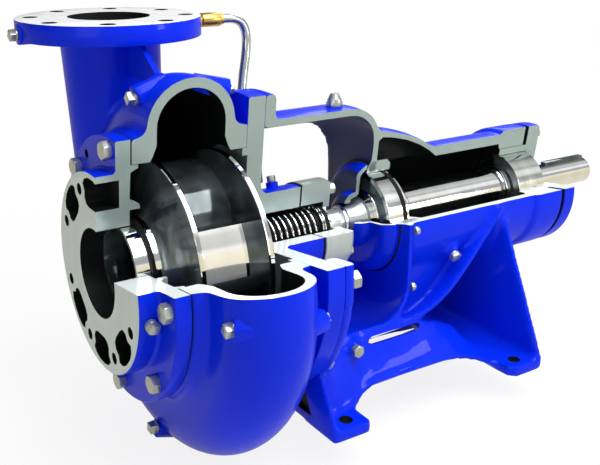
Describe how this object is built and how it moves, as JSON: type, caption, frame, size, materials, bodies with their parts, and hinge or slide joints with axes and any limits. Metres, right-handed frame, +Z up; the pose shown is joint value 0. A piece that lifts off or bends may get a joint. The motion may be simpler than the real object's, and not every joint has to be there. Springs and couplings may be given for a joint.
{
  "type": "slurry pump",
  "caption": "Cutaway horizontal centrifugal slurry pump with volute casing, open impeller eye, mechanical seal and bearing frame on a pedestal, driven by a keyed shaft.",
  "frame": {"origin": "centre of the bounding box on the plane of its lowest point, under the volute", "axes": "+X along the shaft towards the drive end, +Z up, -Y towards the cut-away side"},
  "size_m": [0.8178, 0.5324, 0.4947],
  "materials": {
    "blue_paint": "gloss",
    "zinc_steel": "satin",
    "black_rubber": "satin",
    "brass": "satin",
    "gland_metal": "satin",
    "chrome": "polished",
    "bearing_steel": "polished"
  },
  "bodies": {
    "casing": {"back_plate": "blue_paint", "bearing_frame": "blue_paint", "breather_cap": "zinc_steel", "cover_bolt_1": "zinc_steel", "cover_bolt_2": "zinc_steel", "cover_bolt_3": "zinc_steel", "cover_bolt_4": "zinc_steel", "cover_bolt_5": "zinc_steel", "cover_bolt_6": "zinc_steel", "cover_bolt_7": "zinc_steel", "cover_gasket": "black_rubber", "drain_plug": "zinc_steel", "eye_ring": "black_rubber", "flange_plug": "zinc_steel", "flush_elbow": "zinc_steel", "flush_fitting": "brass", "flush_tube": "chrome", "frame_bolt_1": "zinc_steel", "frame_bolt_2": "zinc_steel", "frame_bolt_3": "zinc_steel", "frame_bolt_4": "zinc_steel", "frame_bolt_5": "zinc_steel", "frame_bolt_6": "zinc_steel", "frame_bolt_7": "zinc_steel", "front_bearing_band": "black_rubber", "front_bearing_cover": "blue_paint", "front_bearing_outer": "bearing_steel", "front_bearing_ring": "chrome", "gauge_plug": "zinc_steel", "gland_bolt_1": "zinc_steel", "gland_bolt_2": "zinc_steel", "gland_bolt_3": "zinc_steel", "gland_gasket": "black_rubber", "rear_bearing_outer": "bearing_steel", "rear_cartridge": "blue_paint", "rear_oil_seal": "black_rubber", "seal_gland": "gland_metal", "seal_seat": "black_rubber", "side_plug": "zinc_steel", "suction_cover": "blue_paint", "volute_casing": "blue_paint"},
    "rotor": {"shaft": "chrome", "shaft_key": "chrome", "impeller": "chrome", "impeller_nut": "chrome", "seal_sleeve": "chrome", "seal_spring": "chrome", "seal_bellows": "black_rubber", "seal_ring_1": "chrome", "seal_ring_2": "chrome", "seal_face": "chrome", "slinger": "chrome", "front_bearing_inner": "bearing_steel", "rear_bearing_inner": "bearing_steel"},
    "front_balls": {"front_bearing_cage": "bearing_steel"},
    "rear_balls": {"rear_bearing_cage": "bearing_steel"}
  },
  "joints": [
    {"name": "shaft_spin", "type": "hinge", "parent": "casing", "child": "rotor", "pos_m": [0.06685, -0.04182, 0.23869], "axis": [1, 0, 0], "continuous": true},
    {"name": "front_ball_orbit", "type": "hinge", "parent": "casing", "child": "front_balls", "pos_m": [-0.00785, -0.04182, 0.23869], "axis": [1, 0, 0], "continuous": true},
    {"name": "rear_ball_orbit", "type": "hinge", "parent": "casing", "child": "rear_balls", "pos_m": [0.24685, -0.04182, 0.23869], "axis": [1, 0, 0], "continuous": true}
  ],
  "couplings": [
    {"joint": "front_ball_orbit", "follows": "shaft_spin", "ratio": 0.4307},
    {"joint": "rear_ball_orbit", "follows": "shaft_spin", "ratio": 0.4423}
  ]
}
